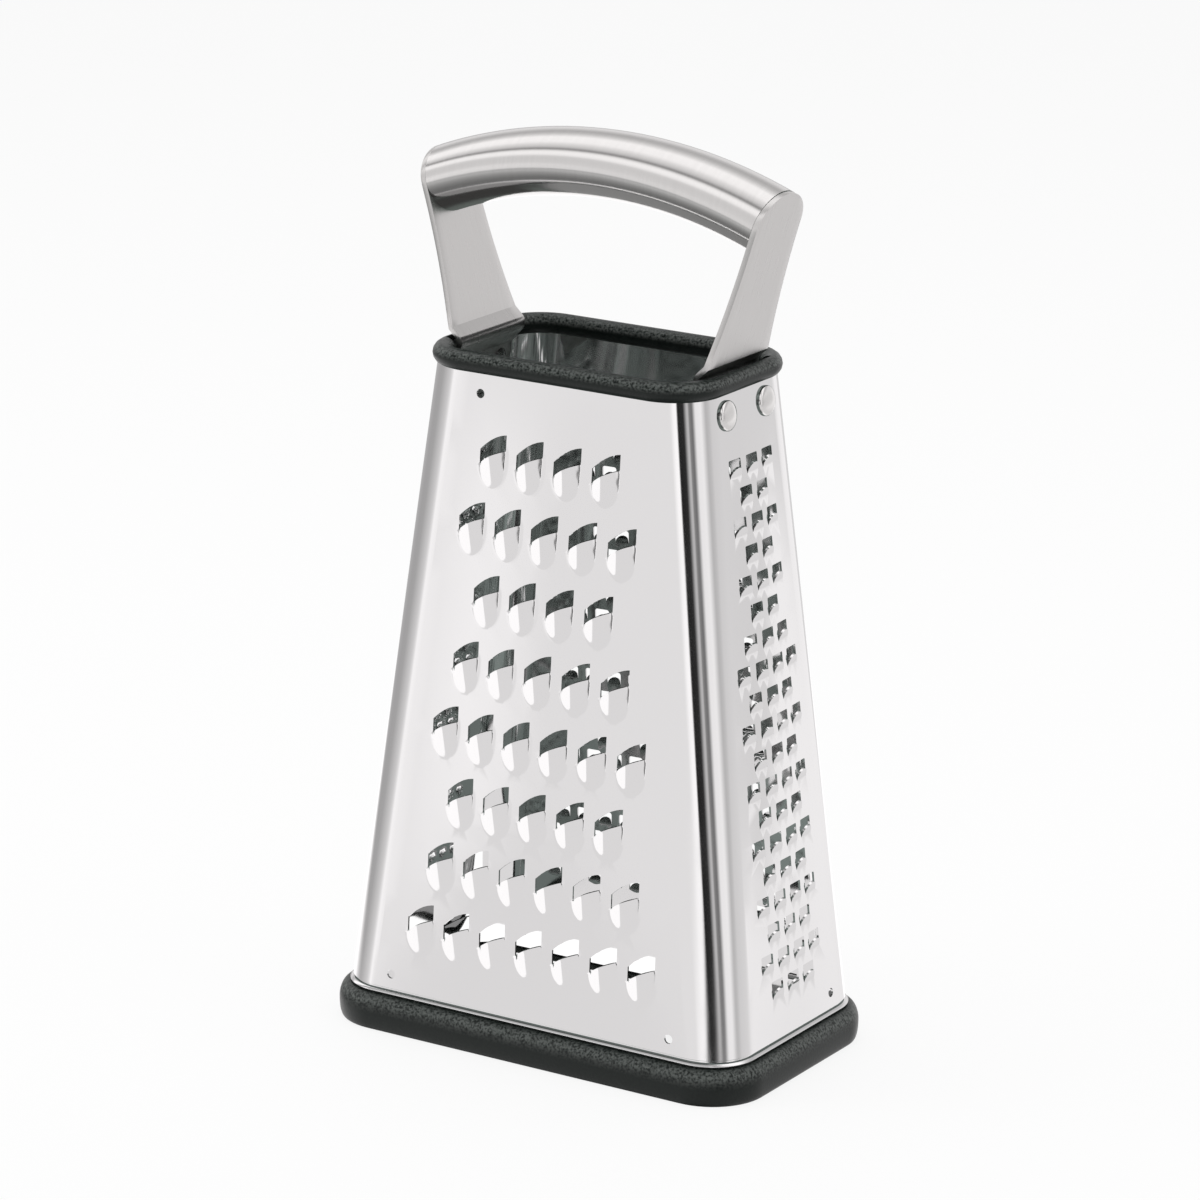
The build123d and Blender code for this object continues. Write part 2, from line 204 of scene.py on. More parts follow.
# %% Speckle
speckle_tree, speckle_in, speckle_out = new_group(
    "moulded_speckle",
    [("Scale", "NodeSocketFloat", 1500.0)],
    [("Spots", "NodeSocketFloat"), ("Height", "NodeSocketFloat")],
)
speckle_place = add_node(speckle_tree, "TexCoord").outputs["Object"]
speckle_noise = add_node(
    speckle_tree, "TexNoise", Vector=speckle_place, Scale=speckle_in.outputs["Scale"], Detail=2.0
).outputs["Fac"]
speckle_spots = map_range(speckle_tree, speckle_noise, 0.35, 0.62)
join(speckle_tree, speckle_out, Spots=speckle_spots, Height=speckle_noise)
print("shared effects:", [group.name for group in bpy.data.node_groups])


# %% [markdown]
# ## The finishes
# The sheet is stainless steel, polished until it mirrors the studio, so it is metallic with a low,
# slightly uneven roughness. The handle is such steel too, but brushed. The rivets are tumbled to a soft
# shine. The rim and the foot are a charcoal plastic with a matt, faintly spotted skin. The spots carry a
# painted highlight: they are palest in a band where the plastic leans upwards, and dark on its top and below.

# %% Polished steel
polished_steel, tree, shader = new_material("polished_steel", 1.0, 0.07, (0.79, 0.785, 0.785))
wear = add_node(tree, "Group", {"node_tree": wear_tree}, Low=0.05, High=0.09, Scale=45.0)
join(tree, shader, Roughness=wear.outputs["Roughness"])


# %% Brushed steel
SCRATCH_DEPTH = 0.00002


def brushed_steel(name, stretch, color, dark_share, low, high):
    """Brushed steel whose scratches are stretched as asked, in its colour and range of roughness"""
    material, tree, shader = new_material(name, 1.0, 0.3, color)
    grain = add_node(tree, "Group", {"node_tree": grain_tree}, Stretch=stretch).outputs["Grain"]
    dark = (*[channel * dark_share for channel in color], 1)
    tone = mix_colors(tree, grain, dark, (*color, 1))
    rough = map_range(tree, grain, 0.0, 1.0, low, high)
    bump = add_node(tree, "Bump", Height=grain, Distance=SCRATCH_DEPTH, Strength=0.5)
    join(tree, shader, Base_Color=tone, Roughness=rough, Normal=bump.outputs["Normal"])
    return material


tube_steel = brushed_steel("brushed_tube_steel", (3500, 90, 90), (0.74, 0.73, 0.72), 0.86, 0.10, 0.16)
strap_steel = brushed_steel("brushed_strap_steel", (90, 2500, 90), (0.68, 0.67, 0.66), 0.88, 0.24, 0.34)

# %% Rivet steel
rivet_steel, tree, shader = new_material("rivet_steel", 1.0, 0.25, (0.74, 0.73, 0.72))
wear = add_node(tree, "Group", {"node_tree": wear_tree}, Low=0.12, High=0.20, Scale=900.0)
bump = add_node(tree, "Bump", Height=wear.outputs["Height"], Distance=0.000004, Strength=0.3)
join(tree, shader, Roughness=wear.outputs["Roughness"], Normal=bump.outputs["Normal"])

# %% Charcoal plastic
plastic, tree, shader = new_material("charcoal_plastic", 0.0, 0.36, (0.010, 0.014, 0.012))
shader.inputs["Specular IOR Level"].default_value = 0.26
speckle = add_node(tree, "Group", {"node_tree": speckle_tree}, Scale=1500.0)
facing = add_node(tree, "NewGeometry")
split_facing = add_node(tree, "SeparateXYZ", Vector=facing.outputs["Normal"])
# Painted highlight: the spots' colour is lit up in a band where the surface leans about 25 degrees upwards,
# and stays dark on the top and on faces that look down
painted_highlight = add_node(tree, "ValToRGB", Fac=split_facing.outputs["Z"])
painted_highlight_ramp = painted_highlight.color_ramp
painted_highlight_ramp.elements[0].position, painted_highlight_ramp.elements[0].color = 0.02, (0.007, 0.011, 0.009, 1)
painted_highlight_ramp.elements[1].position, painted_highlight_ramp.elements[1].color = 0.98, (0.040, 0.046, 0.043, 1)
for position, strength in ((0.20, 0.4), (0.42, 1.0), (0.75, 0.9)):
    middle = painted_highlight_ramp.elements.new(position)
    middle.color = (0.110 * strength, 0.121 * strength, 0.114 * strength, 1)
tone = mix_colors(tree, speckle.outputs["Spots"], (0.005, 0.008, 0.007, 1), painted_highlight.outputs["Color"])
bump = add_node(tree, "Bump", Height=speckle.outputs["Height"], Distance=0.0001, Strength=0.35)
join(tree, shader, Base_Color=tone, Normal=bump.outputs["Normal"])
print("finishes:", [material.name for material in bpy.data.materials])


# %% [markdown]
# ## A node that keeps its shape
# The tube of the handle is already right as it was measured, so it only takes a better finish.

# %% Dress the tube
def dress(node, material):
    """Puts one material on every face of a piece"""
    node.data.materials.clear()
    node.data.materials.append(material)


dress(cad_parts["grip_tube"], tube_steel)
print("grip_tube wears", tube_steel.name)


# %% [markdown]
# ## The rim bead
# The rim is a soft round bead. Its measured model is a bead of sixteen flat sides, so a copy of it is
# merged into one skin and shaded smooth, except at the sharp edges of its slots.

# %% Helpers for pieces
def add_piece(name, mesh):
    """A new object that holds a mesh"""
    piece = bpy.data.objects.new(name, mesh)
    bpy.context.collection.objects.link(piece)
    return piece


def only(piece):
    """Makes one object the only one that is selected, and the active one"""
    bpy.ops.object.select_all(action="DESELECT")
    piece.select_set(True)
    bpy.context.view_layer.objects.active = piece


def start_editing():
    """Edit mode, with the whole mesh selected"""
    bpy.ops.object.mode_set(mode="EDIT")
    bpy.ops.mesh.select_all(action="SELECT")


def modify(piece, kind, **settings):
    """Gives the active piece a modifier and applies it"""
    bpy.ops.object.modifier_add(type=kind)
    modifier = piece.modifiers[-1]
    for name, value in settings.items():
        setattr(modifier, name, value)
    bpy.ops.object.modifier_apply(modifier=modifier.name)


def stop_editing(turn_faces=False):
    """Object mode, with all faces turned outwards first if asked"""
    if turn_faces:
        bpy.ops.mesh.select_all(action="SELECT")
        bpy.ops.mesh.normals_make_consistent(inside=False)
    bpy.ops.object.mode_set(mode="OBJECT")


def shade_smooth(piece, degrees):
    """Smooth shading that keeps edges sharper than an angle"""
    only(piece)
    bpy.ops.object.shade_smooth_by_angle(angle=radians(degrees))


def finish_piece(piece, slot_name, *nodes):
    """Rides on the one body and stands for its nodes. The slot name is not used"""
    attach(piece, "root")
    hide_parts(*nodes)
    faces = sum(len(polygon.vertices) - 2 for polygon in piece.data.polygons)
    print(piece.name, "has", faces, "triangles")


# %% Round off the rim
rim_bead = add_piece("rim_bead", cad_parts["top_rim"].data.copy())
only(rim_bead)
bpy.ops.mesh.customdata_custom_splitnormals_clear()
start_editing()
bpy.ops.mesh.remove_doubles(threshold=0.001 * MM)
stop_editing()
shade_smooth(rim_bead, 32)
dress(rim_bead, plastic)
finish_piece(rim_bead, "dark_plastic", "top_rim")


# %% [markdown]
# ## The formed sheet
# The body is one blank of thin steel, folded into a leaning box with round corners, with a rolled hem
# at its foot and four sets of teeth pressed out of it. It could be made by cutting hundreds of cutters
# out of a solid with booleans, but the pressed domes flow out of the sheet with no seam. So each wall
# is drawn flat as a sheet pattern: the outlines of the holes, and rings of points that carry how far
# the press pushed the metal out. The pattern is joined into triangles, laid on the leaning wall, and
# given the sheet's thickness at the end.

# %% Sizes of the sheet
FOOT_TOP = 9.8
RIM_HEIGHT = 188.8
WIDTH_LOW, WIDTH_HIGH = 126.4, 84.4
DEPTH_LOW, DEPTH_HIGH = 72.6, 53.0
CORNER_RADIUS = 13.0
SHEET_THICKNESS = 0.6
MERGE_DISTANCE = 0.01
SHEET_BOTTOM = 1.3
SHEET_TOP = 190.0
WALL_BOTTOM = 11.9
WALL_BOW = 2.0
CORNER_STEPS = 14
EDGE_STEPS = 16
HEIGHT_STEPS = 26


def reach_at(axis, height):
    """Half the box's width (axis 0) or depth (axis 1) at a height"""
    low, high = ((WIDTH_LOW, WIDTH_HIGH), (DEPTH_LOW, DEPTH_HIGH))[axis]
    return (low + (high - low) * (height - FOOT_TOP) / (RIM_HEIGHT - FOOT_TOP)) / 2


class Wall:
    """One leaning wall, with its outward, sideways and upward directions"""

    def __init__(self, name, outward, bow):
        self.name = name
        self.outward = Vector(outward)
        self.along = Vector((0, 0, 1)).cross(self.outward)
        self.axis = 0 if outward[0] else 1
        self.bow_height = bow
        slope = reach_at(self.axis, 0) - reach_at(self.axis, 1)
        self.stretch = hypot(1, slope)
        self.normal = (self.outward + Vector((0, 0, slope))) / self.stretch

    def half(self, height):
        """Half the width of the flat part between the round corners"""
        return reach_at(1 - self.axis, height) - CORNER_RADIUS

    def bow(self, across, height):
        """How far the pressed wall bulges, which fades to nothing at its edges"""
        share = min(1, abs(across) / self.half(height))
        rise = (height - FOOT_TOP) / (RIM_HEIGHT - FOOT_TOP)
        return self.bow_height * (1 - share**2) ** 2 * max(0, 4 * rise * (1 - rise))

    def point(self, across, height, push=0.0):
        """A point on the wall, pushed out by some amount"""
        push += self.bow(across, height)
        return (
            self.outward * reach_at(self.axis, height)
            + self.along * across
            + Vector((0, 0, height))
            + self.normal * push
        )


walls = {
    "front": Wall("front", (0, -1, 0), WALL_BOW),
    "right": Wall("right", (1, 0, 0), WALL_BOW * 0.6),
    "back": Wall("back", (0, 1, 0), WALL_BOW),
    "left": Wall("left", (-1, 0, 0), WALL_BOW * 0.6),
}


# %% [markdown]
# ### The coarse teeth
# Each coarse tooth is a shallow scoop that swells up out of the sheet and rises towards a bowed and
# slanted cutting lip, with a window above it. Its points run in straight columns down from the lip, so
# that the light slides along it as it does on pressed metal.

# %% Coarse tooth
DOME_HALF_WIDTH = 4.25
DOME_TIP = -8.1
DOME_WIDEST = -1.5
DOME_RISE = 1.9
DOME_BLEND = 0.25
LIP_HALF = 4.15
LIP_SKEW = tan(radians(28))
LIP_BOW = 0.55
LIP_STEPS = 7
WINDOW_LEFT, WINDOW_RIGHT = 3.95, 4.35
WINDOW_BOW = 0.95
LIP_END_FADE = 0.6
RING_DISTANCES = (0.45, 1.1)
LIP_CROWDING = radians(72)
POINT_SPACING = 0.8


def soft_step(value):
    """0 below 0, 1 above 1 and smooth between them"""
    value = max(0.0, min(1.0, value))
    return value * value * (3 - 2 * value)


def soft_above(value, blend):
    """The larger of a value and 0, with a rounded fillet between them"""
    share = max(0.0, min(1.0, 0.5 + 0.5 * value / blend))
    return value * share + blend * share * (1 - share)


def dome_half_width(y):
    """Half the dome's width at a height, an arch that narrows to the tip"""
    share = max(0.0, (DOME_WIDEST - y) / (DOME_WIDEST - DOME_TIP))
    return DOME_HALF_WIDTH * sqrt(max(0.01, 1 - share * share))


def dome_foot(x):
    """Height at which the dome runs out into the sheet, at a place across it"""
    share = min(1.0, abs(x) / DOME_HALF_WIDTH)
    return DOME_WIDEST + (DOME_TIP - DOME_WIDEST) * sqrt(1 - share * share)


def lip_height(x):
    """Height of the cutting lip at a place across the tooth, a slant that is bowed upwards"""
    share = max(-1.0, min(1.0, x / LIP_HALF))
    return LIP_HALF * LIP_SKEW * share + LIP_BOW * (1 - share**2)


def window_height(x):
    """Height of the window's top at a place across the tooth"""
    share = max(-1.0, min(1.0, x / LIP_HALF))
    side = WINDOW_LEFT + (WINDOW_RIGHT - WINDOW_LEFT) * (share + 1) / 2
    return LIP_HALF * LIP_SKEW * share + side + WINDOW_BOW * (1 - share**2)


def dome_push(x, y):
    """How far the dome stands out at a point of the tooth"""
    crest = DOME_RISE * (y - DOME_TIP) / -DOME_TIP
    raw = crest * (1 - (x / dome_half_width(y)) ** 2) if crest > 0 else crest
    return soft_above(raw, DOME_BLEND) * (1 - soft_step((y - lip_height(x)) / LIP_END_FADE))


def grown(outline, distance):
    """An anticlockwise outline moved outwards by a distance"""
    moved = []
    for before, point, after in zip(outline[-1:] + outline[:-1], outline, outline[1:] + outline[:1]):
        way_in = (Vector(point) - Vector(before)).normalized()
        way_out = (Vector(after) - Vector(point)).normalized()
        outward = Vector((way_in.y + way_out.y, -way_in.x - way_out.x)).normalized()
        spread = max(0.6, outward.dot(Vector((way_in.y, -way_in.x))))
        moved.append(tuple(Vector(point) + outward * distance / spread))
    return moved


def coarse_tooth():
    """Window outline and loose points of one coarse tooth, as (x, y, push)"""
    turns = [LIP_CROWDING * step / LIP_STEPS for step in range(-LIP_STEPS, LIP_STEPS + 1)]
    across = [LIP_HALF * sin(turn) / sin(LIP_CROWDING) for turn in turns]
    lip = [(x, lip_height(x)) for x in across]
    top = [(x, window_height(x)) for x in across[::-2]]
    right_side = [(LIP_HALF, lip_height(LIP_HALF) + WINDOW_RIGHT * share) for share in (0.12, 0.4, 0.7)]
    left_side = [(-LIP_HALF, lip_height(-LIP_HALF) + WINDOW_LEFT * share) for share in (0.7, 0.4, 0.13)]
    hole = lip + right_side + top + left_side
    loose = []
    for x, lip_y in lip:
        length = max(0.6, lip_y - dome_foot(x))
        steps = max(1, round(length / POINT_SPACING))
        for step in range(1, steps + 1):
            loose.append((x, lip_y - length * step / steps))
    arch = [DOME_HALF_WIDTH * sin(pi * step / 16) for step in range(-8, 9)]
    arch = [(x, dome_foot(x)) for x in arch]
    flank = [(DOME_HALF_WIDTH, -0.2), (DOME_HALF_WIDTH, 1.1), (LIP_HALF, 2.4)]
    footprint = arch + flank + right_side[1:] + top + left_side[:2] + [(-LIP_HALF, -2.2)]
    for distance in RING_DISTANCES:
        loose += grown(footprint, distance)
    return [(x, y, dome_push(x, y)) for x, y in hole], [(x, y, dome_push(x, y)) for x, y in loose]


# %% [markdown]
# ### The medium and small teeth
# These are cut on three sides and bent out: a round-ended tongue stands out of the lower edge of its
# window, with a slit down each side.

# %% Tongue tooth
TONGUE_EASE = 0.03


def tongue_tooth(half_width, height, tongue_half, tongue_length, rise, corner):
    """Window outline with its tongue, and loose points of the tongue"""

    def lift(y):
        share = max(0.0, y) / tongue_length
        start, end = sqrt(TONGUE_EASE), sqrt(1 + TONGUE_EASE)
        return rise * (sqrt(share * share + TONGUE_EASE) - start) / (end - start)

    window = [
        (half_width, 0.0),
        (half_width, height - corner),
        (half_width - corner * 0.3, height - corner * 0.3),
        (half_width - corner, height),
    ]
    window += [(-x, y) for x, y in reversed(window)]
    turns = [pi * step / 8 for step in range(9)]
    tip = [(-tongue_half * cos(turn), tongue_length * sin(turn)) for turn in turns]
    hole = [(x, y, 0.0) for x, y in window] + [(x, y, lift(y)) for x, y in tip]
    loose = []
    for share in (0.3, 0.65):
        y = tongue_length * share
        width = tongue_half * sqrt(1 - share * share) * 0.55
        loose += [(-width, y, lift(y)), (0, y, lift(y)), (width, y, lift(y))]
    loose += [(-tongue_half / 2, 0, 0), (0, 0, 0), (tongue_half / 2, 0, 0), (0, -0.7, 0)]
    return hole, loose


# %% [markdown]
# ### The fine points
# The left face is pierced from inside with a square pin, which bursts the metal outwards into a sharp
# little collar with four corners.

# %% Pierced point
def pierced_point(hole_radius, collar_radius, rise):
    """Square hole standing on its corner, in a collar that rises to its edge"""
    hole, loose = [], []
    for step in range(8):
        angle = pi * step / 4
        reach = hole_radius if step % 2 == 0 else hole_radius * 0.78
        hole.append((reach * cos(angle), reach * sin(angle), rise * (1 if step % 2 else 0.75)))
        for share, push in ((0.45, 0.3), (1.0, 0.0)):
            radius = hole_radius + (collar_radius - hole_radius) * share
            loose.append((radius * cos(angle), radius * sin(angle), rise * push))
    return hole, loose


def round_hole(radius):
    """A plain round pilot hole"""
    angles = [pi * step / 12 for step in range(24)]
    return [(radius * cos(angle), radius * sin(angle), 0.0) for angle in angles], []


# %% [markdown]
# ### Where the teeth go
# The coarse and medium rows are those of the measured model. The photograph doesn't show the back and
# the left face. They carry the close patterns that such graters have, in rows that shift by half a
# pitch and take in as many teeth as the leaning wall has room for.

# %% Rows of teeth
def centred_rows(counts, first_height, pitch, row_pitch):
    """Places (across, height down the wall) of rows that are centred on the wall"""
    places = []
    for row, count in enumerate(counts):
        for column in range(count):
            places.append(((column - (count - 1) / 2) * pitch, first_height, -row * row_pitch))
    return places


def filled_rows(wall, first_height, last_height, pitch, row_pitch, margin):
    """Places of rows that fill the wall, each shifted by half a pitch from the last"""
    places = []
    rows = int((first_height - last_height) / row_pitch) + 1
    for row in range(rows):
        shift = (row % 2) / 2
        room = wall.half(first_height - row * row_pitch) - margin
        for column in range(-20, 21):
            across = (column + shift) * pitch
            if abs(across) <= room:
                places.append((across, first_height, -row * row_pitch))
    return places


MEDIUM_COUNTS = (3, 2, 3, 2, 3, 2, 3, 4, 3, 4, 3, 4, 3, 4, 3, 4, 3, 4, 3)
patterns = {
    "front": [
        (coarse_tooth(), centred_rows((4, 5, 4, 5, 6, 5, 6, 7), 164.5, 11.75, 19.0)),
        (round_hole(1.25), [(-44.5, 16.0, 0), (44.5, 16.0, 0), (-22.5, 181.0, 0)]),
    ],
    "right": [
        (tongue_tooth(2.8, 4.9, 2.72, 2.7, 1.2, 0.35), centred_rows(MEDIUM_COUNTS, 164.2, 8.2, 7.9)),
        (round_hole(1.25), [(19.3, 16.0, 0)]),
    ],
    "back": [
        (
            tongue_tooth(2.15, 3.8, 2.05, 1.8, 0.8, 0.6),
            filled_rows(walls["back"], 164.0, 22.0, 6.7, 6.0, 10.0),
        ),
        (round_hole(1.25), [(44.5, 16.0, 0)]),
    ],
    "left": [
        (pierced_point(1.05, 2.05, 0.8), filled_rows(walls["left"], 164.0, 24.0, 5.0, 4.5, 1.5)),
    ],
}
for name, kinds in patterns.items():
    print(name, "has", [len(places) for _, places in kinds], "teeth and holes")


# %% [markdown]
# ### Lay out one wall
# The wall's outline and each window's outline are fixed edges. A constrained triangulation joins every
# point, and the triangles that lie in a window are left out.

# %% Wall from its pattern
FILL_PITCH = 6.5
FILL_CLEARANCE = 1.7
sheet_points = []
sheet_faces = []


def keep(point):
    """Adds a point to the sheet and gives its number"""
    sheet_points.append(tuple(point * MM))
    return len(sheet_points) - 1


def wall_height(step, steps):
    """Height of one of the even steps between the wall's bottom and top"""
    return WALL_BOTTOM + (SHEET_TOP - WALL_BOTTOM) * step / steps


def wall_outline(wall):
    """The wall's edge, anticlockwise seen from outside, in the flat pattern"""
    shares = [step / EDGE_STEPS * 2 - 1 for step in range(EDGE_STEPS + 1)]
    heights = [wall_height(step, HEIGHT_STEPS) for step in range(HEIGHT_STEPS + 1)]
    bottom = [(share * wall.half(WALL_BOTTOM), WALL_BOTTOM) for share in shares]
    right = [(wall.half(height), height) for height in heights[1:]]
    top = [(-share * wall.half(SHEET_TOP), SHEET_TOP) for share in shares[1:]]
    left = [(-wall.half(height), height) for height in reversed(heights[1:-1])]
    return bottom + right + top + left


def lay_out(wall, kinds):
    """Turns one wall's flat pattern into points and faces of the sheet"""
    flat, push, fixed, holes = [], [], [], []

    def add_loop(points):
        start = len(flat)
        for across, height, out in points:
            flat.append(Vector((across, height * wall.stretch)))
            push.append(out)
        numbers = list(range(start, len(flat)))
        fixed.extend(zip(numbers, numbers[1:] + numbers[:1]))
        return numbers

    add_loop([(across, height, 0.0) for across, height in wall_outline(wall)])
    footprints = []
    for (hole, loose), places in kinds:
        size = max(hypot(x, y) for x, y, _ in hole + loose)
        for across, height, down in places:

            def placed(points):
                return [(across + x, height + (down + y) / wall.stretch, out) for x, y, out in points]

            holes.append(add_loop(placed(hole)))
            for x, y, out in placed(loose):
                flat.append(Vector((x, y * wall.stretch)))
                push.append(out)
            footprints.append((across, height + down / wall.stretch, size * 0.6))
    placed_points = KDTree(len(flat))
    for number, point in enumerate(flat):
        placed_points.insert((point.x, point.y, 0), number)
    placed_points.balance()
    rows = int((SHEET_TOP - WALL_BOTTOM) / FILL_PITCH)
    for row in range(1, rows):
        height = wall_height(row, rows)
        room = wall.half(height) - FILL_PITCH * 0.6
        columns = max(1, int(2 * room / FILL_PITCH))
        for column in range(columns + 1):
            across = -room + 2 * room * column / columns
            point = Vector((across, height * wall.stretch))
            clear = placed_points.find((point.x, point.y, 0))[2] > FILL_CLEARANCE
            if clear and all(hypot(across - x, height - y) > size for x, y, size in footprints):
                flat.append(point)
                push.append(0.0)
    made = delaunay_2d_cdt(flat, fixed, holes, 0, 1e-5)
    vertices, faces, from_vertices, from_faces = made[0], made[2], made[3], made[5]
    numbers = []
    for vertex, sources in zip(vertices, from_vertices):
        out = max((push[source] for source in sources), default=0.0)
        numbers.append(keep(wall.point(vertex.x, vertex.y / wall.stretch, out)))
    for face, sources in zip(faces, from_faces):
        if not sources:
            sheet_faces.append([numbers[corner] for corner in face])
    print(wall.name, "wall:", len(vertices), "points,", len(faces), "triangles with those in the windows")


for name, kinds in patterns.items():
    lay_out(walls[name], kinds)


# %% [markdown]
# ### Corners and hem
# Each round corner is a plain strip of quads between two walls. Below the walls the sheet runs on as
# one closed band, which swells into the rolled hem and then goes down into the foot.

# %% Round corners
def corner_point(first, second, share, height, push=0.0):
    """A point on the round corner between two neighbouring walls"""
    turn = share * pi / 2
    centre = first.outward * (reach_at(first.axis, height) - CORNER_RADIUS) + second.outward * (
        reach_at(second.axis, height) - CORNER_RADIUS
    )
    outward = first.outward * cos(turn) + second.outward * sin(turn)
    return centre + outward * (CORNER_RADIUS + push) + Vector((0, 0, height))


def join_rows(rows, closed):
    """Quads between rows of numbered points, from the lowest row up"""
    for lower, upper in zip(rows, rows[1:]):
        count = len(lower)
        for step in range(count if closed else count - 1):
            following = (step + 1) % count
            sheet_faces.append([lower[step], lower[following], upper[following], upper[step]])


order = list(walls.values())
for first, second in zip(order, order[1:] + order[:1]):
    rows = []
    for level in range(HEIGHT_STEPS + 1):
        height = wall_height(level, HEIGHT_STEPS)
        shares = [step / CORNER_STEPS for step in range(CORNER_STEPS + 1)]
        rows.append([keep(corner_point(first, second, share, height)) for share in shares])
    join_rows(rows, closed=False)

# %% Rolled hem
HEM_MIDDLE = 10.55
HEM_HALF_HEIGHT = 0.7
HEM_REACH = 0.75
HEM_STEPS = 8
GROOVE_DEPTH = 0.45


def band_row(height, push):
    """One closed row of numbered points round the box"""
    row = []
    for first, second in zip(order, order[1:] + order[:1]):
        for step in range(EDGE_STEPS):
            across = (step / EDGE_STEPS * 2 - 1) * first.half(height)
            side = first.outward * (reach_at(first.axis, height) + push) + first.along * across
            row.append(side + Vector((0, 0, height)))
        shares = [step / CORNER_STEPS for step in range(CORNER_STEPS)]
        row += [corner_point(first, second, share, height, push) for share in shares]
    return [keep(point) for point in row]


band_levels = [(SHEET_BOTTOM, 0.0), (FOOT_TOP - 0.6, 0.0)]
for step in range(HEM_STEPS + 1):
    angle = pi * (step / HEM_STEPS - 0.5)
    reach = HEM_REACH * cos(angle)
    if step > HEM_STEPS / 2:
        reach -= GROOVE_DEPTH * (step / HEM_STEPS - 0.5) * 2
    band_levels.append((HEM_MIDDLE + HEM_HALF_HEIGHT * sin(angle), reach))
band_levels.append((WALL_BOTTOM - 0.25, -GROOVE_DEPTH))
band_levels.append((WALL_BOTTOM, 0.0))
join_rows([band_row(height, push) for height, push in band_levels], closed=True)

# %% Give the sheet its thickness
sheet_mesh = bpy.data.meshes.new("formed_sheet")
sheet_mesh.from_pydata(sheet_points, [], sheet_faces)
formed_sheet = add_piece("formed_sheet", sheet_mesh)
only(formed_sheet)
start_editing()
bpy.ops.mesh.remove_doubles(threshold=MERGE_DISTANCE * MM)
stop_editing()
modify(formed_sheet, "SOLIDIFY", thickness=SHEET_THICKNESS * MM, offset=-1)
shade_smooth(formed_sheet, 35)
dress(formed_sheet, polished_steel)
finish_piece(formed_sheet, "polished_steel", "body_sheet")


# %% [markdown]
# ## The straps
# Each strap is a flat bar of brushed steel. Its tab lies against the wall inside the box. At the mouth
# it swells inwards in a roll that clears the rim, and then it leans out as an arm with a waist and a
# rounded end. It starts as a flat grid: each row of the grid takes its height and its distance from the
# middle from the bar's side view, and its width from the front view. Then the grid gets the bar's
# thickness and soft edges.

# %% Side view of a strap
STRAP_THICKNESS = 1.5
STRAP_EDGE_RADIUS = 0.16
STRAP_LOW, TAB_END = 172.5, 184.5
TAB_HEIGHTS = (STRAP_LOW, 172.9, 173.6, 174.6, 175.6, 176.5, 179.0, 182.0, TAB_END)
TAB_DEPTH = 2.366
CREASE_HEIGHT, SLOPE_END = 194.6, 192.5
ARM_LEAN = radians(16.9)
ARM_FOOT_REACH, ARM_FOOT_HEIGHT = 38.209, 191.5
ARM_STEPS, CAP_STEPS = 20, 12
ROLL_RADIUS = 3.0
ROLL_START, ROLL_END = radians(-35), radians(46)
ROLL_STEPS = 14
strap_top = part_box("right_strap")[1][2] / MM


def tab_reach(height):
    """Distance of the tab's inner face from the middle of the grater"""
    return reach_at(0, height) - TAB_DEPTH


def arm_reach(height):
    """Distance of the arm's inner face from the middle of the grater"""
    return ARM_FOOT_REACH + (height - ARM_FOOT_HEIGHT) * tan(ARM_LEAN)


def strap_side_view():
    """Points (reach, height) of the inner face, from the tab's low end to the arm's top"""
    line = [(tab_reach(height), height) for height in TAB_HEIGHTS]
    slope_reach = arm_reach(CREASE_HEIGHT) - (CREASE_HEIGHT - SLOPE_END) * tan(ROLL_END)
    centre_x = slope_reach + ROLL_RADIUS * cos(ROLL_END)
    centre_z = SLOPE_END - ROLL_RADIUS * sin(ROLL_END)
    for step in range(ROLL_STEPS + 1):
        lean = ROLL_START + (ROLL_END - ROLL_START) * step / ROLL_STEPS
        line.append((centre_x - ROLL_RADIUS * cos(lean), centre_z + ROLL_RADIUS * sin(lean)))
    cap = strap_top - CAP_RISE
    heights = [CREASE_HEIGHT + (cap - CREASE_HEIGHT) * step / ARM_STEPS for step in range(ARM_STEPS + 1)]
    for step in range(1, CAP_STEPS + 1):
        heights.append(cap + CAP_RISE * sin(radians(88) * step / CAP_STEPS))
    return line + [(arm_reach(height), height) for height in heights]


# %% Front view of a strap
TAB_HALF, NECK_HALF, WAIST = 15.5, 11.6, 1.0
TAB_CORNER = 4.0
SHOULDER_HEIGHT, NECK_DROP, CAP_RISE = 194.0, 2.4, 8.6


def strap_half_width(height):
    """Half the strap's width at a height"""
    cap = strap_top - CAP_RISE
    neck = cap - NECK_DROP
    if height < STRAP_LOW + TAB_CORNER:
        short = STRAP_LOW + TAB_CORNER - height
        return TAB_HALF - TAB_CORNER + sqrt(max(0, TAB_CORNER**2 - short**2))
    if height < SHOULDER_HEIGHT:
        return TAB_HALF
    if height < neck:
        share = (height - SHOULDER_HEIGHT) / (neck - SHOULDER_HEIGHT)
        return TAB_HALF + (NECK_HALF - TAB_HALF) * share - WAIST * 4 * share * (1 - share)
    share = max(0, height - cap) / CAP_RISE
    return NECK_HALF * sqrt(max(0, 1 - share**2))


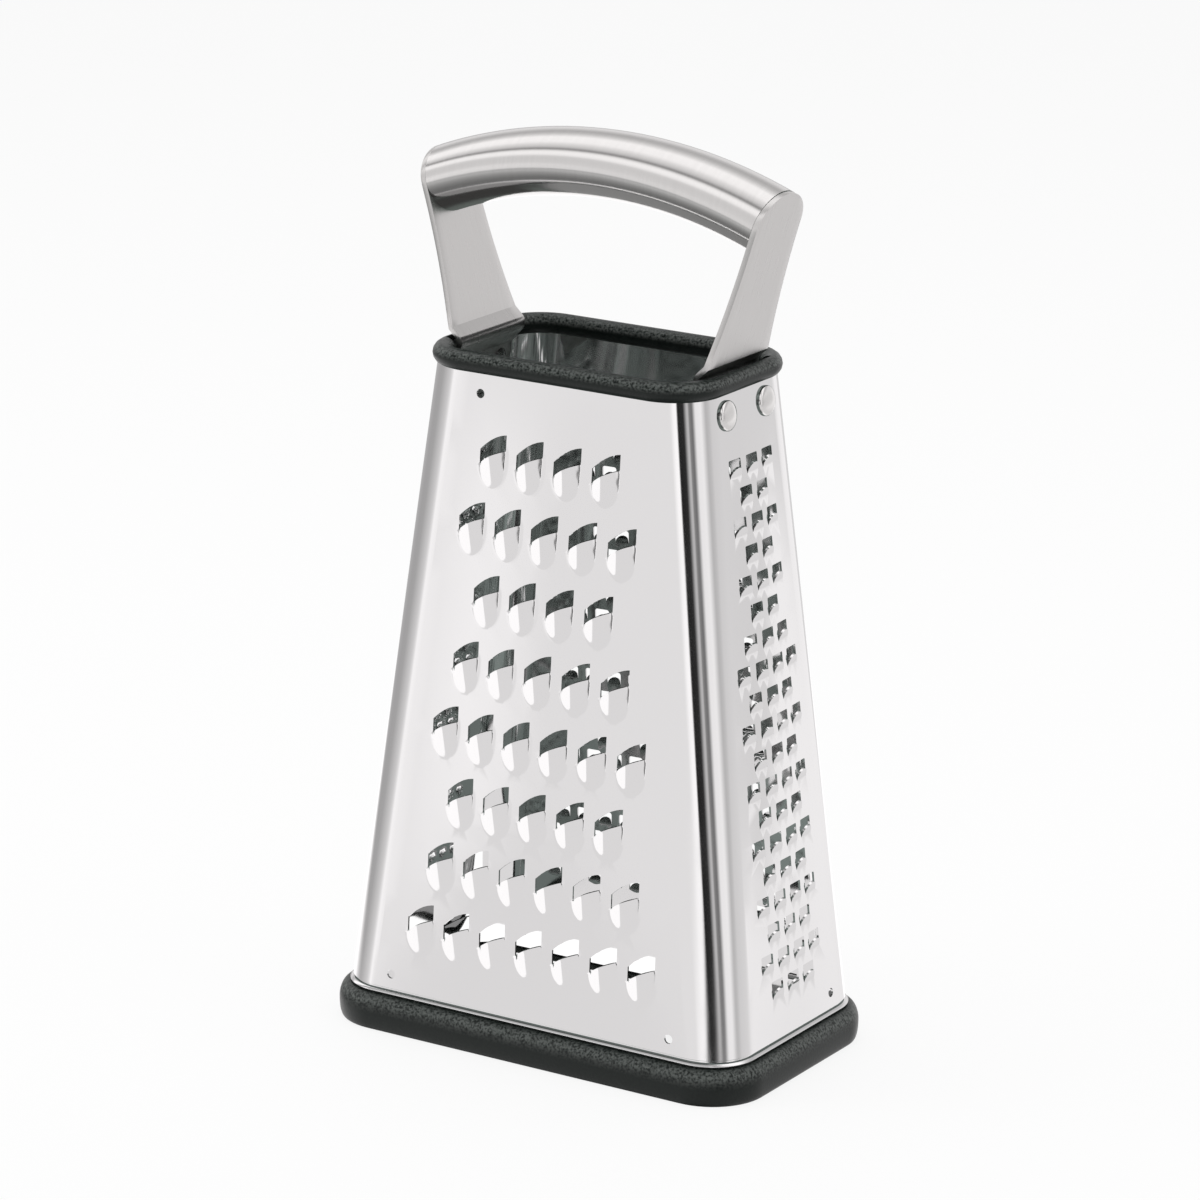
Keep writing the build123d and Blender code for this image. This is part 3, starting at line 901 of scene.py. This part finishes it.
# %% Bend one strap
side_view = strap_side_view()
ACROSS_STEPS = 8
bpy.ops.object.select_all(action="DESELECT")
bpy.ops.mesh.primitive_grid_add(x_subdivisions=ACROSS_STEPS, y_subdivisions=len(side_view) - 1, size=1)
right_bent_strap = bpy.context.object
right_bent_strap.name = "right_bent_strap"
for vertex in right_bent_strap.data.vertices:
    across = vertex.co.x * 2
    reach, height = side_view[round((vertex.co.y + 0.5) * (len(side_view) - 1))]
    vertex.co = Vector((reach, across * strap_half_width(height), height)) * MM
start_editing()
stop_editing(turn_faces=True)
outer_side = -1 if right_bent_strap.data.polygons[0].normal.x < 0 else 1
modify(right_bent_strap, "SOLIDIFY", thickness=STRAP_THICKNESS * MM, offset=outer_side, use_even_offset=True)
modify(right_bent_strap, "BEVEL", width=STRAP_EDGE_RADIUS * MM, segments=2, angle_limit=radians(60))
start_editing()
stop_editing(turn_faces=True)

# %% Mirror it for the left side
left_bent_strap = add_piece("left_bent_strap", right_bent_strap.data.copy())
left_bent_strap.data.transform(Matrix.Diagonal((-1, 1, 1, 1)))
left_bent_strap.data.flip_normals()
for side, strap in (("left", left_bent_strap), ("right", right_bent_strap)):
    shade_smooth(strap, 25)
    dress(strap, strap_steel)
    finish_piece(strap, "brushed_steel", f"{side}_strap")


# %% [markdown]
# ## The foot
# The foot is a bulged moulding that hugs the outside of the sheet, with a thin flange that the sheet
# stands on. It starts as a plain rectangle at the height where the foot is widest, with its corners
# bevelled round. Insets that rise or sink a little each time then draw its section, one half upwards
# and one half downwards, because an inset keeps the same distance all the way round.

# %% Foot moulding
FOOT_BULGE, FOOT_BASE_REACH, FOOT_TOP_REACH = 3.6, 2.6, 0.7
FLANGE_HEIGHT, FLANGE_REACH = 1.2, 1.5
FOOT_CLEARANCE = 0.06
BULGE_STEPS = 8


def bulge_insets(reach_change, height_change):
    """Insets that follow a quarter of a round from the widest place to an end of the bulge"""
    for step in range(BULGE_STEPS):
        start, end = (pi / 2 * share / BULGE_STEPS for share in (step, step + 1))
        inward = reach_change * (cos(start) - cos(end))
        rise = height_change * (sin(end) - sin(start))
        bpy.ops.mesh.inset(thickness=inward * MM, depth=rise * MM)


bpy.ops.object.select_all(action="DESELECT")
bpy.ops.mesh.primitive_plane_add(size=1, location=(0, 0, 0))
foot_moulding = bpy.context.object
foot_moulding.name = "foot_moulding"
start_editing()
widest = [(size + 2 * FOOT_BULGE) * MM for size in (WIDTH_LOW, DEPTH_LOW)]
bpy.ops.transform.resize(value=(*widest, 1))
bpy.ops.transform.translate(value=(0, 0, FOOT_TOP / 2 * MM))
bpy.ops.mesh.bevel(
    offset=(CORNER_RADIUS + FOOT_BULGE) * MM, offset_type="ABSOLUTE", segments=CORNER_STEPS, affect="VERTICES"
)

# The lower half goes down to the base, and its last inset is the base itself
bpy.ops.mesh.duplicate()
bpy.ops.mesh.flip_normals()
bulge_insets(FOOT_BULGE - FOOT_BASE_REACH, FOOT_TOP / 2)
bpy.ops.mesh.inset(thickness=(FOOT_BASE_REACH + FLANGE_REACH) * MM, depth=0)
bpy.ops.mesh.delete(type="ONLY_FACE")
stop_editing()

# The upper half goes up to the top, down the inner side and in along the flange
for polygon in foot_moulding.data.polygons:
    polygon.select = polygon.normal.z > 0.5 and len(polygon.vertices) > 4
for edge in foot_moulding.data.edges:
    edge.select = False
bpy.ops.object.mode_set(mode="EDIT")
bpy.ops.mesh.select_mode(type="FACE")
bulge_insets(FOOT_BULGE - FOOT_TOP_REACH, FOOT_TOP / 2)
bpy.ops.mesh.inset(thickness=(FOOT_TOP_REACH - FOOT_CLEARANCE) * MM, depth=0)
bpy.ops.mesh.extrude_region_move(TRANSFORM_OT_translate={"value": (0, 0, (FLANGE_HEIGHT - FOOT_TOP) * MM)})
lean = [reach_at(axis, FLANGE_HEIGHT) / reach_at(axis, FOOT_TOP) for axis in (0, 1)]
bpy.ops.transform.resize(value=(*lean, 1), center_override=(0, 0, 0))
bpy.ops.mesh.inset(thickness=(FLANGE_REACH + FOOT_CLEARANCE) * MM, depth=0)
bpy.ops.mesh.delete(type="ONLY_FACE")

# The two halves are merged at the widest place and bridged at the flange's inner edge
bpy.ops.mesh.select_mode(type="VERT")
bpy.ops.mesh.select_all(action="SELECT")
bpy.ops.mesh.remove_doubles(threshold=MERGE_DISTANCE * MM)
bpy.ops.mesh.select_all(action="DESELECT")
bpy.ops.mesh.select_non_manifold(extend=False, use_wire=False, use_boundary=True, use_multi_face=False)
bpy.ops.mesh.bridge_edge_loops()
stop_editing(turn_faces=True)
shade_smooth(foot_moulding, 35)
dress(foot_moulding, plastic)
finish_piece(foot_moulding, "dark_plastic", "foot_ring")


# %% [markdown]
# ## The rivets
# Two rivets hold each strap: a low round head outside and a small set tail inside. One rivet is turned
# up ring by ring from a circle, and the other three are copies that are laid on their walls.

# %% Turn one rivet
RIVET_HEIGHT = 181.0
RIVET_SPACING = 19.9
HEAD_RADIUS, HEAD_RISE = 4.1, 1.6
HEAD_SIDE = 0.45
SHANK_RADIUS = 2.0
TAIL_RADIUS, TAIL_RISE = 2.9, 0.9
GRIP_DEPTH = SHEET_THICKNESS + 0.25 + STRAP_THICKNESS
RIVET_SIDES = 40


def rivet_profile():
    """Rings (radius, height along the rivet) from the tail's middle to the head's crown"""
    rings = [(0.8, -GRIP_DEPTH - TAIL_RISE), (TAIL_RADIUS * 0.7, -GRIP_DEPTH - TAIL_RISE * 0.8)]
    rings += [(TAIL_RADIUS, -GRIP_DEPTH - TAIL_RISE * 0.3), (TAIL_RADIUS, -GRIP_DEPTH)]
    rings += [(SHANK_RADIUS, -GRIP_DEPTH), (SHANK_RADIUS, 0.0), (HEAD_RADIUS, 0.0)]
    for step in range(8):
        angle = pi / 2 * step / 8
        height = HEAD_SIDE + (HEAD_RISE - HEAD_SIDE) * sin(angle)
        rings.append((HEAD_RADIUS * cos(angle) ** 0.9, height))
    return rings


def turned_piece(name, rings):
    """A closed turned shape, pulled up ring by ring from a filled circle"""
    bpy.ops.object.select_all(action="DESELECT")
    radius, height = rings[0]
    bpy.ops.mesh.primitive_circle_add(
        vertices=RIVET_SIDES, radius=radius * MM, fill_type="NGON", location=(0, 0, height * MM)
    )
    piece = bpy.context.object
    piece.name = name
    bpy.ops.object.transform_apply(location=True, rotation=True, scale=True)
    start_editing()
    for wider, higher in rings[1:]:
        bpy.ops.mesh.extrude_region_move(TRANSFORM_OT_translate={"value": (0, 0, (higher - height) * MM)})
        share = wider / radius
        bpy.ops.transform.resize(value=(share, share, 1), center_override=(0, 0, higher * MM))
        radius, height = wider, higher
    stop_editing(turn_faces=True)
    shade_smooth(piece, 40)
    return piece


first_rivet = turned_piece("turned_rivet", rivet_profile())

# %% Set the four rivets
for side, wall in (("left", walls["left"]), ("right", walls["right"])):
    for place, towards in (("front", -wall.outward.x), ("rear", wall.outward.x)):
        rivet = add_piece(f"{side}_{place}_rivet", first_rivet.data.copy())
        across = towards * RIVET_SPACING / 2
        base = wall.point(across, RIVET_HEIGHT) - wall.normal * wall.bow(across, RIVET_HEIGHT)
        side_turn = Vector((0, 0, 1)).rotation_difference(wall.normal).to_matrix().to_4x4()
        rivet.data.transform(Matrix.Translation(base * MM) @ side_turn)
        dress(rivet, rivet_steel)
        finish_piece(rivet, "rivet_steel", f"rivet_{side}_{place}")
bpy.data.objects.remove(first_rivet)


# %% [markdown]
# ## The studio
# The grater stands on a white floor under soft light. Polished steel shows what is round it, so that
# is drawn as carefully as the grater: a pale room, long bright panels overhead, a white
# table to the left and a few dark and light edges that show in the bend between the two near faces.
# The room could be built from real cards, but a card stands at one place and each tooth would see it
# shifted, so most of the room is drawn in the world by direction alone.

# %% Floor
FLOOR_SIZE = 12.0
bpy.ops.object.select_all(action="DESELECT")
bpy.ops.mesh.primitive_plane_add(size=FLOOR_SIZE, location=(0, 0, 0))
floor = bpy.context.object
floor.name = "studio_floor"
floor_material, tree, shader = new_material("floor_white", 0.0, 0.9, (0.92, 0.92, 0.92))
path = add_node(tree, "LightPath")
share = calculate(tree, "MULTIPLY", path.outputs["Is Camera Ray"], 0.86)
glow = add_node(tree, "Emission", Color=(1, 1, 1, 1), Strength=1.0)
blend = add_node(tree, "MixShader", _0=share, _1=shader.outputs[0], _2=glow.outputs[0])
join(tree, tree.nodes["Material Output"], Surface=blend.outputs[0])
dress(floor, floor_material)
floor.visible_glossy = False
print("the floor is", FLOOR_SIZE, "m wide")


# %% [markdown]
# ### Three cards
# Three things are near enough to need a place of their own: the table that shows inside the foot, a
# grey card in front of the handle that darkens its lower side, and a dim card across the mouth, which
# is what the handle's underside and the inside of the walls see there.

# %% Cards
INNER_DIMMING = 0.26


def stage_card(name, low, high, height, edge, tones, underside=None):
    """A flat card that only reflections show. Its tone runs from left to right or from front to back"""
    bpy.ops.object.select_all(action="DESELECT")
    bpy.ops.mesh.primitive_plane_add(size=1)
    card = bpy.context.object
    card.name = name
    start_editing()
    size = [(high[axis] - low[axis]) * MM for axis in (0, 1)]
    bpy.ops.transform.resize(value=(*size, 1))
    middle = [(high[axis] + low[axis]) / 2 * MM for axis in (0, 1)]
    bpy.ops.transform.translate(value=(*middle, height * MM))
    stop_editing()
    material, tree, _ = new_material(name + "_tone", 0.0, 1.0, (0, 0, 0))
    place = add_node(tree, "TexCoord")
    split = add_node(tree, "SeparateXYZ", Vector=place.outputs["Object"])
    axis, start, end = edge
    path = add_node(tree, "LightPath")
    tone = map_range(tree, split.outputs[axis], start * MM, end * MM, *tones)
    dim = map_range(tree, path.outputs["Glossy Depth"], 1.0, 2.0, 1.0, INNER_DIMMING)
    strength = calculate(tree, "MULTIPLY", tone, dim)
    if underside is not None:
        side = add_node(tree, "NewGeometry")
        strength = mix_values(tree, side.outputs["Backfacing"], strength, underside)
    glow = add_node(tree, "Emission", Color=(1, 1, 1, 1), Strength=strength)
    join(tree, tree.nodes["Material Output"], Surface=glow.outputs[0])
    dress(card, material)
    for ray in ("camera", "diffuse", "shadow", "transmission"):
        setattr(card, "visible_" + ray, False)
    print(name, "is", [round(length / MM) for length in size], "mm")


stage_card("inner_table", (-59.5, 18), (59.5, 34.5), 0.1, (0, 0, 16), (1.35, 0.17))
stage_card("handle_card", (-260, -200), (120, -30), 196.0, (1, -110, -40), (0.58, 0.20))
stage_card("mouth_card", (-35.5, -23), (35.5, 23), 193.0, (0, -35, 35), (0.30, 0.26), 0.05)


# %% [markdown]
# ### The room by direction
# Three angles tell the directions apart: the turn round the grater, the height angle, and the roll
# about the handle. Low in the room the brightness goes by the turn, and above it goes by the roll.

# %% Directions in the room
world = bpy.data.worlds.new("studio_world")
bpy.context.scene.world = world
world.use_nodes = True
room = world.node_tree
room.nodes.clear()
room_math = partial(calculate, room)
between = partial(map_range, room)
mixed = partial(mix_values, room)
BRIGHTEST = 1.4


def light_ramp(value, low, high, stops):
    """How bright the room is along one angle, from a list of (degrees, brightness)"""
    node = add_node(room, "ValToRGB", Fac=between(value, low, high))
    ramp = node.color_ramp
    while len(ramp.elements) > 1:
        ramp.elements.remove(ramp.elements[0])
    for number, (degrees, tone) in enumerate(stops):
        place = (degrees - low) / (high - low)
        element = ramp.elements[0] if number == 0 else ramp.elements.new(place)
        element.position = place
        element.color = (*[tone / BRIGHTEST] * 3, 1)
    return room_math("MULTIPLY", node.outputs["Color"], BRIGHTEST)


ray = add_node(room, "TexCoord")
parts = add_node(room, "SeparateXYZ", Vector=ray.outputs["Generated"])
ray_x, ray_y, ray_z = parts.outputs
towards_front = room_math("MULTIPLY", ray_y, -1.0)
azimuth = room_math("DEGREES", room_math("ARCTAN2", ray_x, towards_front))
elevation = room_math("DEGREES", room_math("ARCSINE", ray_z))
roll = room_math("DEGREES", room_math("ARCTAN2", ray_z, towards_front))

# %% Low in the room: what the walls and the corner see
slant = room_math("MULTIPLY", between(elevation, -15.0, -7.0, -4.0, 4.0), 4.0)
slant_here = room_math("MULTIPLY", slant, between(azimuth, -12.0, 12.0))
level_stops = (
    (-180, 0.80), (-150, 0.62), (-130, 0.50), (-100, 0.44), (-84, 0.46), (-71, 0.58), (-57, 0.74),
    (-51, 0.90), (-46, 1.15), (-43, 1.12), (-38, 1.06), (-30, 0.93), (2, 0.93), (11, 1.20), (17, 1.22),
    (19, 0.02),
    (33, 0.03), (36, 0.22), (40, 0.55), (43, 0.64), (46, 0.28), (53, 0.18), (57, 0.55), (61, 1.00),
    (75, 1.05), (81, 0.82), (88, 0.58), (96, 0.64), (104, 0.76), (138, 0.82), (150, 1.06), (165, 1.06),
)
level_light = light_ramp(room_math("SUBTRACT", azimuth, slant_here), -180, 180, level_stops)

# %% Below: the white table on the left, grey in front, white again under the medium teeth
TABLE_SIDE = -43.0
past_left = between(azimuth, TABLE_SIDE - 1.0, TABLE_SIDE + 1.0, 1.0, 0.0)
past_right = between(azimuth, 70.0, 95.0)
low_share = between(elevation, -16.0, -14.2, 1.0, 0.0)
right_share = between(elevation, -22.0, -12.0, 1.0, 0.0)
deep_share = between(elevation, -50.0, -40.0, 1.0, 0.0)
below = mixed(past_left, 0.87, 1.25)
below = mixed(between(elevation, -60.0, -50.0, 1.0, 0.0), below, 0.30)
right_below = mixed(deep_share, 0.84, 1.2)
right_level = mixed(right_share, level_light, right_below)
low_light = mixed(past_right, mixed(low_share, level_light, below), right_level)

# %% Above: long panels along the handle
overhead_stops = (
    (0, 0.90), (27, 0.84), (36, 0.88), (43, 1.20), (51, 1.30), (58, 1.20), (63, 0.60), (67, 0.26), (71, 0.58),
    (77, 0.84), (84, 0.98), (95, 1.28), (115, 1.32), (122, 1.02), (132, 0.70), (142, 0.56), (150, 0.66),
    (158, 0.86), (180, 0.93),
)
high_light = light_ramp(roll, 0, 180, overhead_stops)
room_light = mixed(between(elevation, 1.0, 9.0), low_light, high_light)

# %% World
# Light that is passed on from wall to wall inside the grater grows dim and greenish
path = add_node(room, "LightPath")
passed_on = between(path.outputs["Glossy Depth"], 1.0, 2.0)
room_light = room_math("MULTIPLY", room_light, mixed(passed_on, 1.0, INNER_DIMMING))
room_tint = mix_colors(room, passed_on, (1.0, 0.985, 0.99, 1), (0.86, 1.0, 0.95, 1))
soft = add_node(room, "Background", Color=(1, 1, 1, 1), Strength=0.55)
seen = add_node(room, "Background", Color=room_tint, Strength=room_light)
white = add_node(room, "Background", Color=(1, 1, 1, 1), Strength=1.0)
blend = add_node(
    room, "MixShader", _0=path.outputs["Is Glossy Ray"], _1=soft.outputs[0], _2=seen.outputs[0]
)
blend = add_node(
    room, "MixShader", _0=path.outputs["Is Camera Ray"], _1=blend.outputs[0], _2=white.outputs[0]
)
join(room, add_node(room, "OutputWorld"), Surface=blend.outputs[0])
print("the room has", len(level_stops), "stops round it and", len(overhead_stops), "overhead")


# %% Soft lamps
def soft_lamp(name, place, size, power):
    """A square area lamp that looks at the middle of the grater"""
    bpy.ops.object.light_add(type="AREA", location=place)
    lamp = bpy.context.object
    lamp.name = name
    lamp.data.shape = "SQUARE"
    lamp.data.size = size
    lamp.data.energy = power
    lamp.visible_glossy = False
    aim = Vector(place) - Vector((0, 0, 0.12))
    lamp.rotation_euler = aim.to_track_quat("Z", "Y").to_euler()


soft_lamp("top_soft_lamp", (-0.2, 0.1, 1.5), 1.1, 9.0)
soft_lamp("left_soft_lamp", (-1.3, -0.9, 0.9), 0.8, 5.0)
soft_lamp("right_soft_lamp", (1.5, 0.2, 0.8), 0.8, 3.0)

# %% Colour view
bpy.context.scene.view_settings.view_transform = "Standard"
